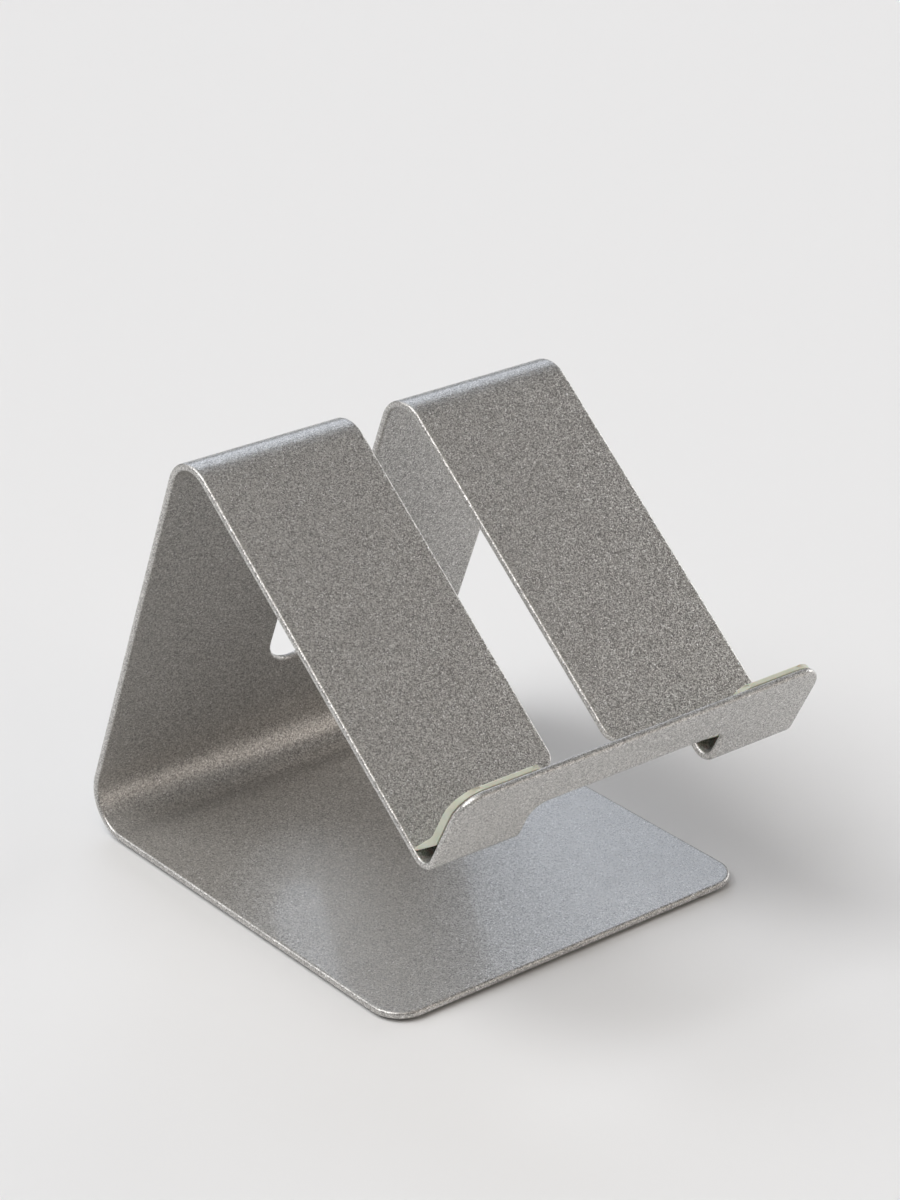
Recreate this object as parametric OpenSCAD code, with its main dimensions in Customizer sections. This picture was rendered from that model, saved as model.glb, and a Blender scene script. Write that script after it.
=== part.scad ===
// Phone stand bent from one sheet of powder-coated metal, with two soft pads in its seat and four thin feet.
// The sheet runs from the front edge of the base plate to the back, up the back panel, over the top,
// down the backrest to the seat and up the front lip. +Y points to the back, +Z up, millimetres.
// Panels are numbered along the sheet: 0 base plate, 1 back panel, 2 backrest, 3 front lip.

/* [Sheet] */
// Width of the stand, and of every panel
width = 80; // [70:1:100]
// Thickness of the coated sheet
sheet = 1.3; // [1:0.1:2]

/* [Panels] */
// Length of the base plate from its front edge to the back corner
base_len = 92; // [88:1:110]
// Slope of the back panel above the base plate, in degrees
back_slope = 68.6; // [64:0.1:74]
// Length of the back panel from corner to corner
back_len = 91.9; // [85:0.1:100]
// Slope of the backrest above the horizontal, in degrees
rest_slope = 38.9; // [35:0.1:45]
// Length of the backrest from corner to corner
rest_len = 85.4; // [78:0.1:90]
// Slope of the front lip above the horizontal, in degrees
lip_slope = 63.1; // [58:0.1:70]
// Length of the lip from the seat's corner to its top edge
lip_len = 19.4; // [18:0.1:26]

/* [Bends, radius at the middle of the sheet] */
// Bend between the base plate and the back panel
rear_bend_r = 7; // [4:0.5:12]
// Bend at the top of the stand
top_bend_r = 6; // [4:0.5:10]
// Tight bend at the bottom of the seat
seat_bend_r = 2.8; // [2.2:0.1:4]

/* [Cut-outs and corners] */
// Width of the cable slot
slot_w = 12; // [8:1:20]
// Height of the slot's round lower end above the back corner, along the back panel
slot_low = 26.8; // [22:0.1:40]
// Width of the wide opening across the seat
seat_gap_w = 43; // [36:1:48]
// Distance from the seat's corner up the backrest to the lower edge of the two strips
strip_end = 9.3; // [8:0.1:14]
// Distance from the seat's corner up the lip to the top of the wide opening
notch_up = 10; // [8:0.1:13]
// Radius of the base plate's two front corners
base_corner_r = 6; // [2:0.5:12]
// Radius of the lip's two top corners
lip_corner_r = 5; // [2:0.5:8]
// Radius of the strips' lower corners beside the slot
strip_corner_r = 3; // [1:0.5:6]
// Radius of the corners where the necks leave the strips
neck_corner_r = 2; // [1:0.5:3]
// Radius of the upper corners of the opening in the lip
notch_corner_r = 3; // [1:0.5:4]

/* [Pads and feet] */
// Gap between a pad's outer end and the edge of the sheet
pad_inset = 0.2; // [0:0.1:2]
// Thickness of a pad with its tape, low on the lip
pad_thick = 1.65; // [1.2:0.05:2.2]
// Thickness of a pad with its tape, at its top edge
pad_thick_top = 1.2; // [0.8:0.05:1.6]
// Distance from a pad's top edge down to the lip's top edge
pad_drop = 0.4; // [0:0.1:2]
// Thickness of the double-sided tape behind the pads and feet
tape = 0.15; // [0.1:0.05:0.3]
// Diameter of a foot
foot_d = 8; // [6:0.5:12]
// Height of a foot with its tape
foot_h = 0.7; // [0.5:0.1:2]
// Distance from the middle of a foot to the side of the base plate
foot_from_side = 9; // [7:1:14]
// Distance from the middle of a front foot to the front edge
foot_from_front = 10; // [8:1:20]
// Distance from the middle of a rear foot to the back corner
foot_from_rear = 18; // [18:1:30]

/* [Hidden] */
$fn = 64;
// Flat steps that make up one bend
bend_steps = 16;
// Flat steps that make up one round corner of an opening
corner_steps = 16;
// Where an opening takes over from its rounded end, in corner radii from that end
overlap = 1.5;
hair = 0.005;
BASE = 0;
BACK = 1;
REST = 2;
LIP = 3;

// Direction of each panel along the sheet, in degrees from +Y towards +Z
heading = [0, 180 - back_slope, 180 + rest_slope, 180 - lip_slope];
function dir(i) = [cos(heading[i]), sin(heading[i])];
function left_of(i) = [-sin(heading[i]), cos(heading[i])];

// Corners of the profile, where the panels' middle lines meet: corner i starts panel i
corner_1 = base_len * dir(BASE);
corner_2 = corner_1 + back_len * dir(BACK);
corner_3 = corner_2 + rest_len * dir(REST);
corner_4 = corner_3 + lip_len * dir(LIP);
corner = [[0, 0], corner_1, corner_2, corner_3, corner_4];

// Bend i joins panel i - 1 to panel i: its radius, its turn (left is positive) and the length it takes
bend_r = [0, rear_bend_r, top_bend_r, seat_bend_r, 0];
bend_turn = [0, heading[1] - heading[0], heading[2] - heading[1], heading[3] - heading[2], 0];
function side(i) = bend_turn[i] < 0 ? -1 : 1;
function setback(i) = bend_r[i] * tan(abs(bend_turn[i]) / 2);
function bend_centre(i) = corner[i] - setback(i) * dir(i - 1)
    + side(i) * bend_r[i] * left_of(i - 1);

// A point on a face of the sheet: step p of bend i, this far to the left of the sheet's middle line.
// The sheet's two ends count as bends of no radius.
function face_point(i, left, p) = bend_r[i] == 0
    ? corner[i] + left * left_of(i == 0 ? BASE : LIP)
    : bend_centre(i) + (bend_r[i] - side(i) * left) * turned(i, p / bend_steps);
function turned(i, part) = let (a = heading[i - 1] - 90 * side(i) + part * bend_turn[i]) [cos(a), sin(a)];
function face_points(i, left) = [for (p = [0:bend_r[i] == 0 ? 0 : bend_steps]) face_point(i, left, p)];
function reversed(list) = [for (k = [len(list) - 1:-1:0]) list[k]];

// The origin is under the middle of the whole stand: from the lip's front edge to the rear bend
front_y = corner[4].x - sheet / 2 * sin(heading[LIP]);
rear_y = bend_centre(1).x + rear_bend_r + sheet / 2;
origin_y = (front_y + rear_y) / 2;
base_z = foot_h + sheet / 2;

// Thickness of a cut, which clears both faces of the sheet by a millimetre
cut_through = sheet + 2;
pad_len_x = (width - seat_gap_w) / 2 - 2 * pad_inset;
pad_mid_x = (width + seat_gap_w) / 4;
pad_top = lip_len - pad_drop;
front_foot_y = foot_from_front;
rear_foot_y = base_len - foot_from_rear;
// Radius of a pad's top corner beside the opening
pad_inner_corner_r = 2;
// Distances along the lip, from the seat's corner: where a pad leaves the lip, where its tape starts
// and where the pad reaches its full thickness
pad_leaves_lip = 7;
pad_tape_low = 7.8;
pad_full_from = 8.6;
// The front of a pad between there and its foot: distance along the lip and distance off it
pad_knees = [[6.3, 2.1], [4, 3]];
// The pad's thin foot on the backrest: distances up from the seat's corner, and its clearance
pad_foot_top = 4.9;
pad_foot_low = 4.3;
pad_foot_gap = 0.05;
// How far the tape stays inside the edge of its pad or foot
tape_margin = 0.8;

coat = "#8f8e8c";
pad_colour = "#d4d6c6";
tape_colour = "#c9c4b0";
foot_colour = "#e2e4e2";

// ---- placing ----

// Puts the profile's own coordinates, which start at the base plate's front edge, into the stand's frame
module in_stand() {
    translate([0, -origin_y, base_z]) children();
}

// A panel's own frame: x across the stand, y along the sheet from the panel's first corner,
// z through the sheet. Under the base and on the phone's side of the backrest and lip, z is negative.
module on_panel(i) {
    in_stand() translate([0, corner[i].x, corner[i].y]) rotate([heading[i], 0, 0]) children();
}

// A shape drawn in the (y, z) plane, stretched across the stand around the middle plane
module across(w) {
    rotate([90, 0, 90]) linear_extrude(w, center = true) children();
}

// A shape drawn on a panel, cut right through the sheet
module through() {
    linear_extrude(cut_through, center = true) children();
}

module both_sides() {
    children();
    mirror([1, 0, 0]) children();
}

// ---- flat shapes ----

// The outline of the sheet seen from the side: its left face from front to back, over the top and down to the
// lip's top edge, then its right face the same way back
module profile() {
    left_face = [for (i = [0:4]) each face_points(i, sheet / 2)];
    right_face = [for (i = [0:4]) each face_points(i, -sheet / 2)];
    polygon(concat(left_face, reversed(right_face)));
}

// What a rounded corner takes away: the tip of a square corner at the origin, which opens to +x +y
module corner_tip(r) {
    difference() {
        translate([-r, -r]) square(2 * r);
        translate([r, r]) circle(r);
        translate([0, r]) square(r);
        translate([r, 0]) square(r);
    }
}

// The round-cornered end of an opening of width w: its end is at y = 0 and it runs on towards +y as far
// as y = 2 r. Where the two corners meet in a half circle, they share one point.
module rounded_end(w, r) {
    first = w > 2 * r ? 0 : 1;
    right = [for (k = [0:corner_steps]) corner_point(w, r, k)];
    left = [for (k = [corner_steps:-1:first]) corner_point(w, r, k)];
    polygon(concat(right, [[w / 2, 2 * r], [-w / 2, 2 * r]], [for (p = left) [-p.x, p.y]]));
}
function corner_point(w, r, k) = let (a = 90 * k / corner_steps) [w / 2 - r + r * sin(a), r - r * cos(a)];

// ---- the body ----

// Opens bend i and the panels beside it over the width w: from before mm ahead of the corner to after mm past it.
// It is narrower by a hair than the rounded ends that it runs into, so that no two cut faces coincide.
module opening(i, w, before, after) {
    start = corner[i] - before * dir(i - 1);
    end = corner[i] + after * dir(i);
    out = cut_through / 2;
    in_stand() across(w - 2 * hair) polygon(concat(
        [start + out * left_of(i - 1)], face_points(i, out), [end + out * left_of(i)],
        [end - out * left_of(i)], reversed(face_points(i, -out)), [start - out * left_of(i - 1)]
    ));
}

// The cable slot: from its round end in the back panel over the top to the end of the two strips
module cable_slot() {
    end_r = slot_w / 2;
    opening(2, slot_w, back_len - slot_low - overlap * end_r, rest_len - strip_end + neck_corner_r);
    on_panel(BACK) through() translate([0, slot_low]) rounded_end(slot_w, end_r);
    both_sides() on_panel(REST) through() translate([slot_w / 2, rest_len - strip_end]) mirror([0, 1])
        corner_tip(strip_corner_r);
}

// The wide opening across the seat, which leaves a neck at each side and reaches up into the lip
module seat_opening() {
    opening(3, seat_gap_w, strip_end - overlap * neck_corner_r, notch_up - overlap * notch_corner_r);
    on_panel(REST) through() translate([0, rest_len - strip_end]) rounded_end(seat_gap_w, neck_corner_r);
    on_panel(LIP) through() translate([0, notch_up]) mirror([0, 1]) rounded_end(seat_gap_w, notch_corner_r);
}

module stand_body() {
    color(coat) difference() {
        in_stand() across(width) profile();
        cable_slot();
        seat_opening();
        both_sides() on_panel(BASE) through() translate([-width / 2, 0]) corner_tip(base_corner_r);
        both_sides() on_panel(LIP) through() translate([-width / 2, lip_len]) mirror([0, 1])
            corner_tip(lip_corner_r);
    }
}

// ---- pads in the seat ----

// The backrest's face on the phone's side, in the lip's own (y, z): the point this far up from the corner
fold = bend_turn[3] + 180;
function on_rest_face(up) = up * [cos(fold), -sin(fold)] + sheet / 2 * [sin(fold), cos(fold)];

// Side view of a pad: it lies on the tape behind the lip, leaves the lip above the bend and spans the
// corner to rest its thin foot on the backrest, with a small hollow below
module pad_section() {
    face = -sheet / 2;
    clear = [0, pad_foot_gap];
    polygon([
        [pad_top, face - tape],
        [pad_leaves_lip, face - tape],
        on_rest_face(pad_foot_low) + clear,
        on_rest_face(pad_foot_top) + clear,
        for (k = [1, 0]) [pad_knees[k].x, face - pad_knees[k].y],
        [pad_full_from, face - pad_thick],
        [pad_top, face - pad_thick_top]
    ]);
}

// Takes the rounding off the upper corners of a pad or its tape, this far inside the edge of the sheet
module round_pad_top(inset) {
    on_panel(LIP) linear_extrude(4 * pad_thick, center = true) {
        translate([pad_inset + inset - width / 2, pad_top - inset]) mirror([0, 1])
            corner_tip(lip_corner_r - pad_inset - inset);
        translate([-seat_gap_w / 2 - pad_inset - inset, pad_top - inset]) mirror([1, 1])
            corner_tip(pad_inner_corner_r);
    }
}

module pad() {
    color(pad_colour) difference() {
        on_panel(LIP) translate([-pad_mid_x, 0, 0]) across(pad_len_x) pad_section();
        round_pad_top(0);
    }
}

module pad_tape() {
    high = pad_top - tape_margin;
    color(tape_colour) difference() {
        on_panel(LIP) translate([-pad_mid_x, (pad_tape_low + high) / 2, -(sheet + tape) / 2])
            cube([pad_len_x - 2 * tape_margin, high - pad_tape_low, tape], center = true);
        round_pad_top(tape_margin);
    }
}

module lip_pad_left() { pad(); }
module lip_pad_right() { mirror([1, 0, 0]) pad(); }
module pad_tape_left() { pad_tape(); }
module pad_tape_right() { mirror([1, 0, 0]) pad_tape(); }

// ---- feet under the base plate ----

// Puts a foot's parts at its place: side is -1 at the left and 1 at the right
module at_foot(side, y) {
    translate([side * (width / 2 - foot_from_side), y - origin_y, 0]) children();
}

module foot(side, y) {
    color(foot_colour) at_foot(side, y) cylinder(d = foot_d, h = foot_h - tape);
}

module foot_tape(side, y) {
    color(tape_colour) at_foot(side, y) translate([0, 0, foot_h - tape])
        cylinder(d = foot_d - tape_margin, h = tape);
}

module foot_front_left() { foot(-1, front_foot_y); }
module foot_front_right() { foot(1, front_foot_y); }
module foot_rear_left() { foot(-1, rear_foot_y); }
module foot_rear_right() { foot(1, rear_foot_y); }
module foot_tape_front_left() { foot_tape(-1, front_foot_y); }
module foot_tape_front_right() { foot_tape(1, front_foot_y); }
module foot_tape_rear_left() { foot_tape(-1, rear_foot_y); }
module foot_tape_rear_right() { foot_tape(1, rear_foot_y); }

stand_body();
lip_pad_left();
lip_pad_right();
pad_tape_left();
pad_tape_right();
foot_front_left();
foot_front_right();
foot_rear_left();
foot_rear_right();
foot_tape_front_left();
foot_tape_front_right();
foot_tape_rear_left();
foot_tape_rear_right();
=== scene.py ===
# %% [markdown]
# # A phone stand bent from one sheet of coated metal
# The real object is made in five steps, and this script follows them: a flat blank is cut from sheet
# metal, its edges are rounded by the powder coat, the blank is folded three times, two soft pads are
# stuck into the seat, and four thin feet are stuck underneath. Each step is one short cell, and each
# shape is a formula worked out with numpy.

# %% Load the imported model
import bmesh
import bpy
import numpy as np
from mathutils import Matrix, Vector
from mathutils.geometry import delaunay_2d_cdt


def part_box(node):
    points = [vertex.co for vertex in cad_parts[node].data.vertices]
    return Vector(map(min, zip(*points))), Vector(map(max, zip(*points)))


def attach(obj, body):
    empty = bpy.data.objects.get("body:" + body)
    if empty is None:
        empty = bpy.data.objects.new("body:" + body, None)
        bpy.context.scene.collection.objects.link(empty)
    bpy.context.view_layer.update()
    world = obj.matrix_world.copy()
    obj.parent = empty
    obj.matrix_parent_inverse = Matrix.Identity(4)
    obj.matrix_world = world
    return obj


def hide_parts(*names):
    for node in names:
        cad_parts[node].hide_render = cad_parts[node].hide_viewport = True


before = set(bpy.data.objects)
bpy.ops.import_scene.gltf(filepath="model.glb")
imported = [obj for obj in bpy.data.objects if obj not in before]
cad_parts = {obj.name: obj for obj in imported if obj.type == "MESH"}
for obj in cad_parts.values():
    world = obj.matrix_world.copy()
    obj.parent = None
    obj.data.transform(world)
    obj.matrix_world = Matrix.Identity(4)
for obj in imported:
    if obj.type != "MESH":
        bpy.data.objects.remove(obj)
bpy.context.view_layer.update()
MM = 0.001

# %% [markdown]
# ## The camera
# The stand is seen from its front left corner and from above, with a long lens, so that its parallel
# edges stay almost parallel. The camera is put on a sphere around a point inside the stand: two angles
# give the direction, and a small roll is added, as when a camera is held by hand.

# %% Camera
AZIMUTH, ELEVATION, ROLL = np.radians([-39.36, 25.14, 0.52])
CAMERA_DISTANCE = 0.6317
LENS, SENSOR = 105.4, 36.0
TARGET = Vector((0.0122, 0.01398, 0.04592))


def direction(azimuth, elevation):
    """Unit vector from the object to a viewer: azimuth 0 is in front (-Y) and turns towards +X, elevation
    is up."""
    across, ahead = np.sin(azimuth) * np.cos(elevation), -np.cos(azimuth) * np.cos(elevation)
    return Vector((across, ahead, np.sin(elevation)))


camera_data = bpy.data.cameras.new("camera")
camera_data.sensor_fit = "AUTO"
camera_data.sensor_width = SENSOR
camera_data.lens = LENS
camera = bpy.data.objects.new("camera", camera_data)
bpy.context.scene.collection.objects.link(camera)
towards_viewer = direction(AZIMUTH, ELEVATION)
camera.location = TARGET + towards_viewer * CAMERA_DISTANCE
level = (-towards_viewer).to_track_quat("-Z", "Y").to_matrix()
camera.rotation_mode = "QUATERNION"
camera.rotation_quaternion = (level @ Matrix.Rotation(ROLL, 3, "Z")).to_quaternion()
bpy.context.scene.camera = camera
print("camera at", [round(v, 4) for v in camera.location])

# %% [markdown]
# ## Small helpers
# Every mesh here is a set of numpy arrays: points, faces and nothing else. One function turns them into
# an object that stays at the origin, so a pattern that reads Object coordinates has the same scale and
# place on every piece. A second function finishes a closed mesh whose ends are many-sided faces.

# %% Helpers for meshes


def new_piece(name, points, faces):
    """Object with these points, in metres, and faces, lists of point numbers counter-clockwise from
    outside."""
    mesh = bpy.data.meshes.new(name)
    mesh.from_pydata(points.tolist(), [], faces)
    mesh.validate()
    mesh.shade_smooth()
    piece = bpy.data.objects.new(name, mesh)
    bpy.context.scene.collection.objects.link(piece)
    print(f"{name}: {len(mesh.vertices)} points, {len(mesh.polygons)} faces")
    return piece


def face_outwards(piece):
    """Splits each many-sided face into short triangles, and turns all the faces of a closed mesh to point
    out."""
    shell = bmesh.new()
    shell.from_mesh(piece.data)
    many_sided = [face for face in shell.faces if len(face.verts) > 4]
    bmesh.ops.triangulate(shell, faces=many_sided, ngon_method="BEAUTY")
    bmesh.ops.recalc_face_normals(shell, faces=shell.faces)
    print(piece.name, "open edges:", sum(not edge.is_manifold for edge in shell.edges))
    shell.to_mesh(piece.data)
    shell.free()


# %% [markdown]
# ## The fold
# Folding doesn't stretch the middle of the sheet, so a point keeps its distance along that middle line.
# The line is described by its heading: constant on a panel, and turning evenly through a bend. Adding up
# the heading's direction step by step gives the line itself. A point off the middle line moves along the
# line's left-hand normal.

# %% Folding
FOLD_STEP = 0.01


def line_from_headings(lengths, headings, radii):
    """Middle line through corners: panel i has lengths[i] from corner to corner and headings[i] in
    degrees, and radii[i] rounds the corner after it. Each corner takes r * tan(turn / 2) off both panels
    and adds an arc of length r * turn. Returns the knots, which are the start and end of each arc, and a
    table of s, y, z, heading."""
    turns = np.radians(np.diff(headings))
    setback = np.abs(np.array(radii) * np.tan(turns / 2))
    arc = np.abs(np.array(radii) * turns)
    straight = np.array(lengths, float)
    straight[:-1] -= setback
    straight[1:] -= setback
    pieces = np.zeros(2 * len(lengths) - 1)
    pieces[0::2] = straight
    pieces[1::2] = arc
    knots = np.concatenate([[0], np.cumsum(pieces)])
    s = np.arange(0, knots[-1] + FOLD_STEP, FOLD_STEP)
    heading = np.interp(s, knots, np.repeat(np.radians(headings), 2))
    middle = (heading[1:] + heading[:-1]) / 2
    y = np.concatenate([[0], np.cumsum(np.cos(middle))]) * FOLD_STEP
    z = np.concatenate([[0], np.cumsum(np.sin(middle))]) * FOLD_STEP
    return knots, setback, (s, y, z, heading)


def fold(line, start):
    """Function that takes flat points (x, s, h) to (x, y, z): the middle line's point at s, plus h times
    its left-hand normal (-sin heading, cos heading). start is where the line begins, as (y, z)."""
    s_table, y_table, z_table, heading_table = line

    def folded(x, s, h):
        heading = np.interp(s, s_table, heading_table)
        y = start[0] + np.interp(s, s_table, y_table) - h * np.sin(heading)
        z = start[1] + np.interp(s, s_table, z_table) + h * np.cos(heading)
        return np.stack([x, y, z], axis=-1)

    return folded


# %% [markdown]
# ## The blank's outline
# An outline is a polygon with a radius at each corner. Between the round corners its points lie on the
# rows that the bends need, so that a fold never has to bend a triangle. Each outline also carries its
# normals, because the rounded rim is made by moving the outline into the sheet.

# %% Outlines
CORNER_STEPS = 10
ROW_CLEARANCE = 0.2
TINY = 1e-6


def outline(corners, rows, spacing):
    """Closed loop of flat points and their normals, which point out of the material when the loop runs
    counter-clockwise around it. A corner (x, s, r) becomes an arc of radius r that touches both sides,
    and a side along s has its points on rows, while a side along x has them evenly spaced."""
    corners = np.array(corners, float)
    points, normals = [], []
    for before, here, after in zip(np.roll(corners, 1, 0), corners, np.roll(corners, -1, 0)):
        back = (before - here)[:2] / np.hypot(*(before - here)[:2])
        ahead = (after - here)[:2] / np.hypot(*(after - here)[:2])
        centre = here[:2] + here[2] * (back + ahead)
        turn = np.sign(ahead[0] * -back[1] + ahead[1] * back[0])
        angle = np.linspace(0, np.pi / 2, CORNER_STEPS + 1)[:, None]
        from_centre = -ahead * np.cos(angle) - back * np.sin(angle)
        points.append(centre + here[2] * from_centre)
        normals.append(-turn * from_centre)
        goal = after[:2] - after[2] * ahead
        start = points[-1][-1]
        if abs(ahead[1]) > abs(ahead[0]):
            low, high = sorted([start[1], goal[1]])
            crossed = rows[(rows > low + ROW_CLEARANCE) & (rows < high - ROW_CLEARANCE)]
            crossed = crossed[:: int(np.sign(ahead[1]))]
            side = np.stack([np.full(len(crossed), start[0]), crossed], -1)
        else:
            count = int(np.ceil(np.hypot(*(goal - start)) / spacing - TINY))
            side = start + (goal - start) * np.linspace(0, 1, max(count, 1) + 1)[1:-1, None]
            if count == 0:
                points[-1], normals[-1] = points[-1][:-1], normals[-1][:-1]
        points.append(side)
        normals.append(np.tile([ahead[1], -ahead[0]], (len(side), 1)))
    return np.concatenate(points), np.concatenate(normals)


# %% [markdown]
# ## From outline to plate
# The powder coat rounds every cut edge. So the plate's rim is a small round profile carried along each
# outline: the profile says how far a point lies inside the outline and how far off the middle of the
# sheet. The two faces are a net of triangles between the rims, over the rows of the bends, and both faces
# use the same net.

# %% Plates with a rounded rim
RIM_STEPS = 6
JUST_UNDER_ONE = 0.999


def rim_profile(thickness, radius):
    """Inset and height of the rim from one face to the other: a quarter circle of this radius at each
    face, and a flat between them."""
    angle = np.linspace(0, np.pi / 2, RIM_STEPS + 1)
    inset = radius * (1 - np.sin(angle))
    height = thickness / 2 - radius * (1 - np.cos(angle))
    return np.concatenate([inset, inset[::-1]]), np.concatenate([height, -height[::-1]])


def plate(name, loops, rows, columns, folded, thickness, radius, band):
    """Plate between two faces: the rim is points + normals * -inset at each height, and the faces fill
    the inside of the innermost ring. The net's own points are the crossings of rows and columns that lie
    inside by a band."""
    inset, height = rim_profile(thickness, radius)
    flat, faces = [], []
    ring_size = sum(len(points) for points, _ in loops)
    rim = [np.concatenate([p - n * d for p, n in loops]) for d in inset]
    support = np.concatenate([p - n * (radius + band) for p, n in loops])
    for ring, h in zip(rim, height):
        flat.append(np.column_stack([ring, np.full(ring_size, h)]))
    starts = np.cumsum([0] + [len(points) for points, _ in loops[:-1]])
    following = np.concatenate([np.roll(np.arange(len(points)), -1) + start
                                for (points, _), start in zip(loops, starts)])
    here = np.arange(ring_size)
    for k in range(len(inset) - 1):
        a, b = k * ring_size, (k + 1) * ring_size
        faces += np.column_stack([a + here, b + here, b + following, a + following]).tolist()

    grid = np.stack(np.meshgrid(columns, rows), -1).reshape(-1, 2)
    grid = grid[inside(grid, loops, radius + band)]
    offset = grid[:, None] - support
    grid = grid[np.hypot(offset[..., 0], offset[..., 1]).min(1) > band]
    rings = np.concatenate([rim[0], support, grid])
    edges = np.column_stack([here, following])
    edges = np.concatenate([edges, edges + ring_size])
    found = delaunay_2d_cdt([Vector(p) for p in rings], edges.tolist(), [], 0, TINY, True)
    net, triangles = np.array([tuple(p) for p in found[0]]), np.array(found[2])
    triangles = triangles[inside(net[triangles].mean(1), loops, radius * JUST_UNDER_ONE)]
    source = np.array([sources[0] for sources in found[3]])
    top_of = np.where(source < ring_size, source, source - ring_size + len(inset) * ring_size)
    extra = len(rings) - ring_size
    bottom_of = np.where(source < ring_size, source + (len(inset) - 1) * ring_size, top_of + extra)
    flat.append(np.column_stack([rings[ring_size:], np.full(extra, thickness / 2)]))
    flat.append(np.column_stack([rings[ring_size:], np.full(extra, -thickness / 2)]))
    faces += top_of[triangles].tolist()
    faces += bottom_of[triangles][:, ::-1].tolist()
    flat = np.concatenate(flat)
    return new_piece(name, folded(*flat.T) * MM, faces)


def inside(points, loops, margin):
    """True where a point is inside the first loop and outside the others: a line from the point towards
    +x crosses the loops, moved inwards by margin, an odd number of times."""
    crossings = np.zeros(len(points), int)
    for p, n in loops:
        a = p - n * margin
        b = np.roll(a, -1, 0)
        px, ps = points[:, :1], points[:, 1:]
        spans = (a[:, 1] > ps) != (b[:, 1] > ps)
        rise = np.where(b[:, 1] == a[:, 1], 1, b[:, 1] - a[:, 1])
        at = a[:, 0] + (ps - a[:, 1]) * (b[:, 0] - a[:, 0]) / rise
        crossings += (spans & (px < at)).sum(1)
    return crossings % 2 == 1


# %% [markdown]
# ## The body
# The body is one blank, 80 mm wide. Its slot runs from the back panel over the top to the seat, where it
# opens into a wide gap that leaves a narrow neck on each side. The panels' lengths and slopes are those
# of the CAD model, in millimetres and degrees, and the folded piece's box is printed after the CAD node's.

# %% Body
WIDTH, SHEET = 80.0, 1.3
PANEL_LENGTHS = [92.0, 91.9, 85.4, 19.4]
HEADINGS = [0, 180 - 68.6, 180 + 38.9, 180 - 63.1]
BEND_RADII = [7.0, 6.0, 2.8]
FOOT_HEIGHT = 0.7
SLOT_WIDTH, SEAT_GAP = 12.0, 43.0
SLOT_LOW, STRIP_END, NOTCH_UP = 26.8, 9.3, 10.0
BASE_CORNER, LIP_CORNER, STRIP_CORNER, NECK_CORNER, NOTCH_CORNER = 6.0, 5.0, 3.0, 2.0, 3.0
EDGE_RADIUS, RIM_BAND = 0.5, 0.35
NET_SPACING, OPENING_SPACING, BEND_DEGREES = 4.0, 2.5, 4.0

knots, setback, sheet_line = line_from_headings(PANEL_LENGTHS, HEADINGS, BEND_RADII)
body_low, body_high = [np.array(corner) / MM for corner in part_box("stand_body")]
line_y = sheet_line[1] - SHEET / 2 * np.sin(sheet_line[3])
front_y = body_low[1] - line_y.min()
fold_sheet = fold(sheet_line, (front_y, FOOT_HEIGHT + SHEET / 2))


def sheet_rows(knots):
    """Rows across the blank: evenly spaced on the panels, and a few degrees apart in the bends."""
    rows = []
    for k, (low, high) in enumerate(zip(knots[:-1], knots[1:])):
        bend = k % 2 == 1
        turn = abs(HEADINGS[k // 2 + 1] - HEADINGS[k // 2]) if bend else 0
        count = int(np.ceil(turn / BEND_DEGREES if bend else (high - low) / NET_SPACING))
        rows.append(np.linspace(low, high, count + 1)[:-1])
    return np.concatenate(rows + [knots[-1:]])


rows = sheet_rows(knots)
columns = np.linspace(-WIDTH / 2, WIDTH / 2, int(WIDTH / NET_SPACING) + 1)
slot_end = knots[2] + SLOT_LOW - setback[0]
strips_end = knots[5] - (STRIP_END - setback[2])
notch_end = knots[6] + NOTCH_UP - setback[2]
half, slot, gap, top = WIDTH / 2, SLOT_WIDTH / 2, SEAT_GAP / 2, knots[-1]
outer_edge = outline([(-half, 0, BASE_CORNER), (half, 0, BASE_CORNER),
                      (half, top, LIP_CORNER), (-half, top, LIP_CORNER)], rows, NET_SPACING)
opening_edge = outline([(-slot, slot_end, slot), (-slot, strips_end, STRIP_CORNER),
                        (-gap, strips_end, NECK_CORNER), (-gap, notch_end, NOTCH_CORNER),
                        (gap, notch_end, NOTCH_CORNER), (gap, strips_end, NECK_CORNER),
                        (slot, strips_end, STRIP_CORNER), (slot, slot_end, slot)], rows, OPENING_SPACING)
body = plate("stand_body_sheet", [outer_edge, opening_edge], rows, columns, fold_sheet, SHEET, EDGE_RADIUS,
             RIM_BAND)
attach(body, "root")
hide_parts("stand_body")
folded_points = np.array([vertex.co[:] for vertex in body.data.vertices]) / MM
print("folded body, mm:", folded_points.min(0).round(2), folded_points.max(0).round(2))
print("CAD body, mm:", body_low.round(2), body_high.round(2))


# %% [markdown]
# ## The coat
# The sheet is finished with a silver powder coat: aluminium flakes in a clear polyester, sprayed on as
# powder and baked until it melts and flows. Two things give its look. Each flake lies a little tilted, so
# neighbouring flakes mirror different parts of the room and the surface glitters. Above them the melted
# binder is smooth and glossy, but it keeps a faint waviness, called orange peel, because it flowed before
# it set.

# %% Helpers for materials


def colour(hex_code):
    """Linear colour from an sRGB hex code, by the sRGB curve: c / 12.92 up to 0.04045, and above it ((c +
    0.055) / 1.055)^2.4."""
    c = np.array([int(hex_code[i:i + 2], 16) for i in (1, 3, 5)]) / 255
    return (*np.where(c <= 0.04045, c / 12.92, ((c + 0.055) / 1.055) ** 2.4).tolist(), 1.0)


def add_node(material, kind, links=(), **settings):
    """Adds a node of this kind. Settings are its properties, or values of its inputs where it has no such
    property; links are pairs of an input's name or number and the output that feeds it."""
    node = material.node_tree.nodes.new(kind)
    for name, value in settings.items():
        if hasattr(node, name):
            setattr(node, name, value)
        else:
            node.inputs[name.replace("_", " ")].default_value = value
    for socket, output in links:
        material.node_tree.links.new(output, node.inputs[socket])
    return node


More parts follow.
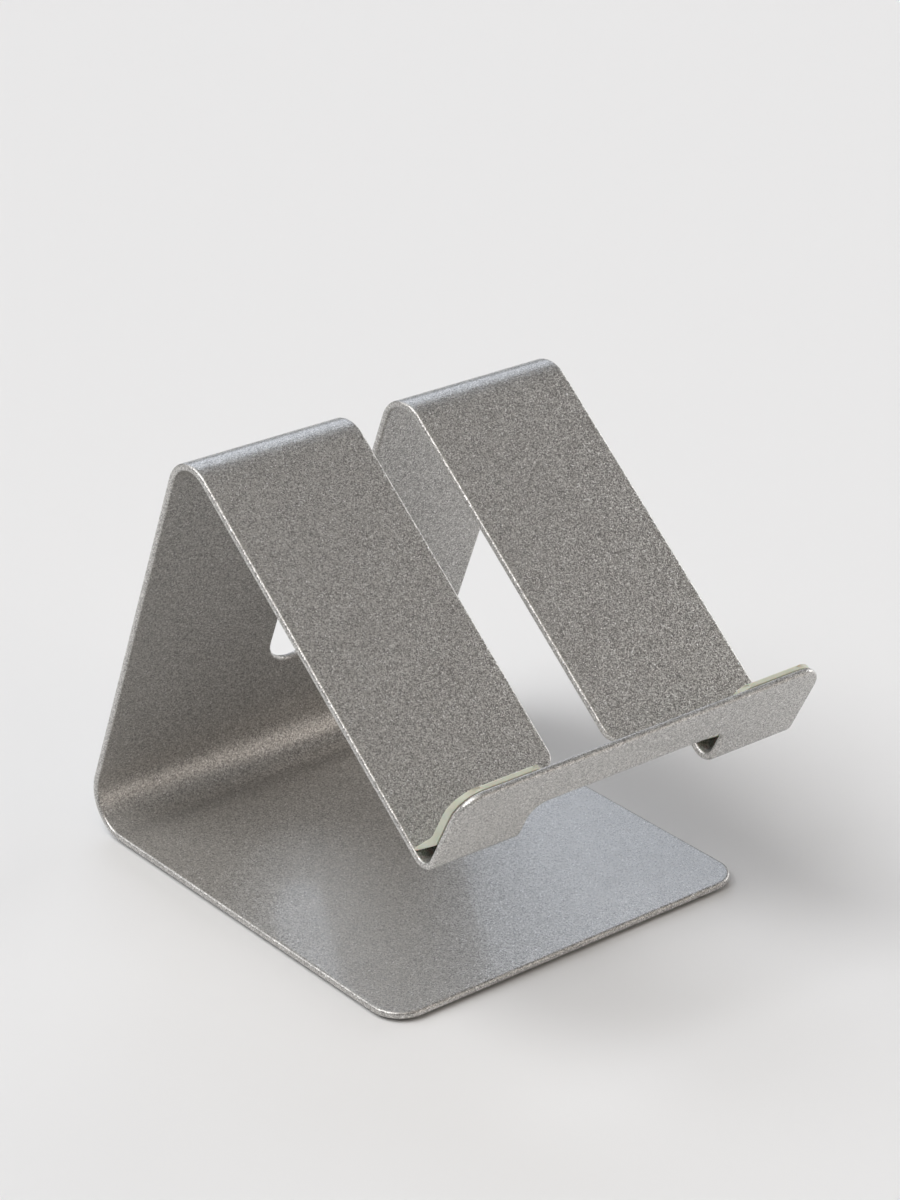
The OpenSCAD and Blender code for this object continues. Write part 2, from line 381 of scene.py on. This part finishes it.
def new_material(name, **settings):
    """Material with one Principled shader and these settings on it. Returns it with the shader."""
    material = bpy.data.materials.new(name)
    material.use_nodes = True
    shader = material.node_tree.nodes["Principled BSDF"]
    for socket, value in settings.items():
        shader.inputs[socket.replace("_", " ")].default_value = value
    return material, shader


# %% Powder coat
FLAKE_SIZE = 0.17 * MM
COAT_WAVE = 1.6 * MM
FLAKE_TILT = 0.30
BRIGHTEST_FLAKES = 0.97
PEEL_DEPTH = 0.02 * MM


def powder_coat():
    """Silver powder coat. Real flakes are under 0.1 mm, too fine to show, so they are drawn as cells of
    0.17 mm: each cell has its own brightness, the few brightest going to white, and its own tilt, which
    is its random colour less a half, added to the normal."""
    material, shader = new_material("silver_powder_coat", Metallic=0.75, Roughness=0.42, Coat_Weight=0.6,
                                    Coat_Roughness=0.12, Coat_IOR=1.5)
    place = add_node(material, "ShaderNodeTexCoord").outputs["Object"]
    cells = add_node(material, "ShaderNodeTexVoronoi", [("Vector", place)], Scale=1 / FLAKE_SIZE)
    tint = add_node(material, "ShaderNodeSeparateColor", [(0, cells.outputs["Color"])])
    ramp = add_node(material, "ShaderNodeValToRGB", [("Fac", tint.outputs[0])])
    ramp.color_ramp.elements.new(BRIGHTEST_FLAKES)
    stops = ((0.0, "#878583"), (BRIGHTEST_FLAKES, "#e4e2de"), (1.0, "#ffffff"))
    for element, (place_on_ramp, shade) in zip(ramp.color_ramp.elements, stops):
        element.position = place_on_ramp
        element.color = colour(shade)
    geometry = add_node(material, "ShaderNodeNewGeometry").outputs["Normal"]
    centred = add_node(material, "ShaderNodeVectorMath", [(0, cells.outputs["Color"])], operation="SUBTRACT")
    centred.inputs[1].default_value = (0.5, 0.5, 0.5)
    tilt = add_node(material, "ShaderNodeVectorMath", [(0, centred.outputs[0]), (2, geometry)],
                    operation="MULTIPLY_ADD")
    tilt.inputs[1].default_value = (FLAKE_TILT,) * 3
    tilted = add_node(material, "ShaderNodeVectorMath", [(0, tilt.outputs[0])], operation="NORMALIZE")
    waves = add_node(material, "ShaderNodeTexNoise", [("Vector", place)], Scale=1 / COAT_WAVE, Detail=1.0)
    peel = add_node(material, "ShaderNodeBump", [("Height", waves.outputs[0])], Strength=0.15,
                    Distance=PEEL_DEPTH)
    links = material.node_tree.links
    links.new(ramp.outputs[0], shader.inputs["Base Color"])
    links.new(tilted.outputs[0], shader.inputs["Normal"])
    links.new(peel.outputs[0], shader.inputs["Coat Normal"])
    return material


coat = powder_coat()
body.data.materials.append(coat)
print(coat.name, "with", len(coat.node_tree.nodes), "nodes")

# %% [markdown]
# ## The lip pads
# Each side of the lip carries a soft pad, so that the phone doesn't touch metal. The real one is cut from
# a silicone strip and stuck behind the lip with thin double-sided tape. Its lower edge is pushed off the
# lip by the bend, and it spans the corner to rest on the backrest, with a small hollow below. So it could
# be an extruded side view, but the upper corners are round and every edge is soft. Here the side view is
# a closed curve, and the pad is that curve carried across the width: near both ends the curve shrinks
# along its own normals, which rounds the edge.

# %% Sections with round corners


def round_section(corners, spacing, steps=6):
    """Closed curve, counter-clockwise, through corners (a, b, r): each becomes an arc of radius r that
    takes r * tan(turn / 2) off both sides, and the sides get points this far apart. Returns points and
    outward normals."""
    corners = np.array(corners, float)
    points, normals = [], []
    for before, here, after in zip(np.roll(corners, 1, 0), corners, np.roll(corners, -1, 0)):
        way_in = (here - before)[:2] / np.hypot(*(here - before)[:2])
        way_out = (after - here)[:2] / np.hypot(*(after - here)[:2])
        turn = np.arctan2(way_in[0] * way_out[1] - way_in[1] * way_out[0], way_in @ way_out)
        heading = np.arctan2(way_in[1], way_in[0]) + turn * np.linspace(0, 1, steps + 1)
        outward = np.stack([np.sin(heading), -np.cos(heading)], axis=-1)
        radius = here[2] * np.sign(turn)
        arc = here[:2] - here[2] * np.tan(abs(turn) / 2) * way_in + radius * (outward - outward[0])
        points.append(arc)
        normals.append(outward)
    along, facing = [], []
    for arc, outward, following in zip(points, normals, points[1:] + points[:1]):
        count = int(np.hypot(*(following[0] - arc[-1])) / spacing)
        side = arc[-1] + (following[0] - arc[-1]) * np.linspace(0, 1, count + 2)[1:-1, None]
        along += [arc, side]
        facing += [outward, np.tile(outward[-1], (count, 1))]
    return np.concatenate(along), np.concatenate(facing)


# %% Pads
PAD_TOP, TAPE = 19.0, 0.15
PAD_EDGE, PAD_EDGE_STEPS = 0.18, 4
PAD_POINT_SPACING, PAD_COLUMNS = 0.2, 24
PAD_SIDE_GAP, PAD_INNER_CORNER = 0.2, 2.0
PAD_SECTION = [(PAD_TOP, TAPE, 0.2), (PAD_TOP, 1.12, 0.3), (13.5, 1.62, 8.0), (7.3, 1.68, 5.0),
               (1.75, 3.92, 0.22), (1.58, 3.40, 0.2), (7.0, TAPE, 1.2)]


def place_on_lip(x, up, off):
    """Points in mm from lip measures: up the lip from its corner with the backrest, and off its inner
    face. Both are straight, so this is the lip's middle line plus up along its heading, less the distance
    along its left normal."""
    _, y, z = fold_sheet(0.0, knots[6], 0.0)
    heading = np.radians(HEADINGS[3])
    up, left = up - setback[2], -SHEET / 2 - off
    return np.stack([x, y + up * np.cos(heading) - left * np.sin(heading),
                     z + up * np.sin(heading) + left * np.cos(heading)], axis=-1)


def drawn_in(up, radius):
    """How far a rounded upper corner draws the pad's side in at this height: r - sqrt(r^2 - d^2), for d
    above its start."""
    above = np.clip(up - (PAD_TOP - radius), 0, radius)
    return radius - np.sqrt(radius ** 2 - above ** 2)


def lip_pad(name, side):
    """The section's points by columns across. A column's x runs from the pad's inner side to its outer
    side, and the first and last few columns shrink the section by edge * (1 - sin), as x moves in by edge
    * (1 - cos)."""
    section, outward = round_section(PAD_SECTION, PAD_POINT_SPACING)
    inner = SEAT_GAP / 2 + PAD_SIDE_GAP + drawn_in(section[:, 0], PAD_INNER_CORNER)
    outer = WIDTH / 2 - PAD_SIDE_GAP - drawn_in(section[:, 0], LIP_CORNER - PAD_SIDE_GAP)
    angle = np.linspace(0, np.pi / 2, PAD_EDGE_STEPS + 1)
    edge_in, edge_shrink = PAD_EDGE * (1 - np.cos(angle)), PAD_EDGE * (1 - np.sin(angle))
    part = np.linspace(0, 1, PAD_COLUMNS)[1:-1]
    span = outer - inner - 2 * PAD_EDGE
    x = np.concatenate([inner + edge_in[:, None], inner + PAD_EDGE + span * part[:, None],
                        outer - edge_in[::-1, None]])
    shrink = np.concatenate([edge_shrink, 0 * part, edge_shrink[::-1]])[:, None, None]
    flat = section - outward * shrink
    points = place_on_lip(side * x, flat[..., 0], flat[..., 1])
    columns, around = x.shape
    first, ring = np.arange(columns - 1)[:, None] * around, np.arange(around)
    following = (ring + 1) % around
    quads = np.stack([first + ring, first + following, first + around + following, first + around + ring], -1)
    caps = [ring.tolist(), (ring + (columns - 1) * around).tolist()]
    piece = new_piece(name, points.reshape(-1, 3) * MM, quads.reshape(-1, 4).tolist() + caps)
    face_outwards(piece)
    return piece


pads = []
for side_name, side in (("left", -1), ("right", 1)):
    pad = lip_pad(f"lip_pad_{side_name}_silicone", side)
    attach(pad, "root")
    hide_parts(f"lip_pad_{side_name}")
    pads.append(pad)

# %% [markdown]
# ## The feet
# Four clear polyurethane feet keep the metal off the table. The real ones are punched or cast as thin
# discs with a soft lower edge. A cylinder would have a knife edge, so each foot is a profile turned
# around its axis instead: the profile's corners are arcs, wide at the table and tight at the tape.

# %% Feet
TURN_STEPS, FOOT_EDGE_STEPS = 64, 6
FOOT_LOW_EDGE, FOOT_HIGH_EDGE = 0.25 * MM, 0.08 * MM


def turned_disc(name, low, high, low_edge, high_edge):
    """Disc between two corners of a box: at angle t a profile point (r, z) goes to (r cos t, r sin t,
    z)."""
    centre, radius = (low + high) / 2, (high.x - low.x) / 2
    angle = np.linspace(0, np.pi / 2, FOOT_EDGE_STEPS + 1)
    face_rings = np.array([0.5, 0.8]) * radius
    r = np.concatenate([face_rings, radius - low_edge * (1 - np.sin(angle)),
                        radius - high_edge * (1 - np.cos(angle)), face_rings[::-1]])
    z = np.concatenate([[low.z, low.z], low.z + low_edge * (1 - np.cos(angle)),
                        high.z - high_edge * (1 - np.sin(angle)), [high.z, high.z]])
    turn = np.linspace(0, 2 * np.pi, TURN_STEPS, endpoint=False)
    points = np.stack([centre.x + r[:, None] * np.cos(turn), centre.y + r[:, None] * np.sin(turn),
                       np.repeat(z[:, None], TURN_STEPS, 1)], axis=-1)
    first, here = np.arange(len(r) - 1)[:, None] * TURN_STEPS, np.arange(TURN_STEPS)
    following = (here + 1) % TURN_STEPS
    quads = np.stack([first + here, first + following, first + TURN_STEPS + following,
                      first + TURN_STEPS + here], -1).reshape(-1, 4).tolist()
    caps = [here[::-1].tolist(), (here + (len(r) - 1) * TURN_STEPS).tolist()]
    return new_piece(name, points.reshape(-1, 3), quads + caps)


feet = []
for place in ("front_left", "front_right", "rear_left", "rear_right"):
    foot = turned_disc(f"foot_{place}_disc", *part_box(f"foot_{place}"), FOOT_LOW_EDGE, FOOT_HIGH_EDGE)
    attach(foot, "root")
    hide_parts(f"foot_{place}")
    feet.append(foot)

# %% [markdown]
# ## The soft finishes
# The pads are silicone rubber, moulded milky and a little green: light goes some way into it, so its
# edges glow rather than shade, and its skin has the fine matt grain of the mould. The feet are cast
# polyurethane, clearer and glossier, with the odd haze of cast resin. The tape is acrylic adhesive on a
# cream carrier, seen only as a thin line.

# %% Silicone, polyurethane and tape


def soft_finish(name, dark, light, grain, depth, **settings):
    """Soft plastic whose colour drifts between two shades over grain metres, with a bump of this depth
    that repeats at a fifth of that: Noise -> Color Ramp -> Base Color, and finer Noise -> Bump ->
    Normal."""
    material, shader = new_material(name, **settings)
    place = add_node(material, "ShaderNodeTexCoord").outputs["Object"]
    drift = add_node(material, "ShaderNodeTexNoise", [("Vector", place)], Scale=1 / grain, Detail=3.0)
    ramp = add_node(material, "ShaderNodeValToRGB", [("Fac", drift.outputs[0])])
    for element, place_on_ramp, shade in zip(ramp.color_ramp.elements, (0.3, 0.7), (dark, light)):
        element.position = place_on_ramp
        element.color = colour(shade)
    fine = add_node(material, "ShaderNodeTexNoise", [("Vector", place)], Scale=5 / grain, Detail=2.0)
    bump = add_node(material, "ShaderNodeBump", [("Height", fine.outputs[0])], Strength=0.4, Distance=depth)
    links = material.node_tree.links
    links.new(ramp.outputs[0], shader.inputs["Base Color"])
    links.new(bump.outputs[0], shader.inputs["Normal"])
    return material


silicone = soft_finish("moulded_silicone", "#bfc2b0", "#c9ccbd", 1.5 * MM, 0.03 * MM,
                       Roughness=0.45, IOR=1.41, Subsurface_Weight=0.35, Subsurface_Scale=0.8 * MM)
polyurethane = soft_finish("cast_polyurethane", "#c4c7c6", "#d6d9d8", 3.0 * MM, 0.01 * MM,
                           Roughness=0.25, IOR=1.5, Subsurface_Weight=0.3, Subsurface_Scale=0.5 * MM)
adhesive = soft_finish("acrylic_tape", "#b5ab90", "#c7bfa6", 0.8 * MM, 0.02 * MM, Roughness=0.5, IOR=1.47)
for pad in pads:
    pad.data.materials.append(silicone)
for foot in feet:
    foot.data.materials.append(polyurethane)
tapes = [node for name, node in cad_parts.items() if "tape" in name]
for tape in tapes:
    for tape_slot in tape.material_slots:
        tape_slot.material = adhesive
print("pads, feet, tapes:", len(pads), len(feet), len(tapes))

# %% [markdown]
# ## Studio
# The room is a ring of wide soft lights, and the stand is metal, so each panel mostly shows the light
# that it mirrors. The strongest stands high at the left, which throws the shadow to the right and leaves
# the back panel's inner face dim. A cooler one behind on the right is what the base plate mirrors, and
# the low ones at the right and in front light the lip. Each is a sun with a disc 40 degrees wide, so its
# shadow has no edge and it is soft at any distance.

# %% Floor and light
LIGHT_WIDTH = np.radians(40)
FLOOR_HALF = 3.0
WARM, PLAIN, COOL = "#fff4ea", "#ffffff", "#eaf2ff"


def soft_light(name, azimuth, elevation, strength, shade):
    """Sun with a wide disc that shines from this direction, in degrees."""
    data = bpy.data.lights.new(name, "SUN")
    data.energy = strength
    data.angle = LIGHT_WIDTH
    data.color = colour(shade)[:3]
    lamp = bpy.data.objects.new(name, data)
    bpy.context.scene.collection.objects.link(lamp)
    lamp.rotation_mode = "QUATERNION"
    lamp.rotation_quaternion = direction(*np.radians([azimuth, elevation])).to_track_quat("Z", "Y")


soft_light("key_high_left", 270, 58, 1.28, PLAIN)
soft_light("high_behind_left", 240, 58, 0.53, PLAIN)
soft_light("behind_left", 230, 35, 0.41, PLAIN)
soft_light("behind", 210, 35, 0.34, PLAIN)
soft_light("behind_right", 150, 35, 0.60, COOL)
soft_light("low_right", 90, 12, 1.00, PLAIN)
soft_light("low_front", 30, 12, 0.40, WARM)
soft_light("front_fill", 30, 35, 0.15, WARM)
soft_light("high_front_left", 330, 58, 0.40, WARM)
soft_light("overhead", 0, 90, 0.25, PLAIN)
floor_corners = FLOOR_HALF * np.array([[-1, -1, 0], [1, -1, 0], [1, 1, 0], [-1, 1, 0]])
floor = new_piece("floor", floor_corners, [[0, 1, 2, 3]])
floor_paint, _ = new_material("floor", Base_Color=colour("#e6e6e6"), Roughness=0.9)
floor.data.materials.append(floor_paint)
world = bpy.data.worlds.new("studio")
bpy.context.scene.world = world
world.use_nodes = True
world.node_tree.nodes["Background"].inputs["Color"].default_value = colour("#000000")
bpy.context.scene.view_settings.view_transform = "Standard"
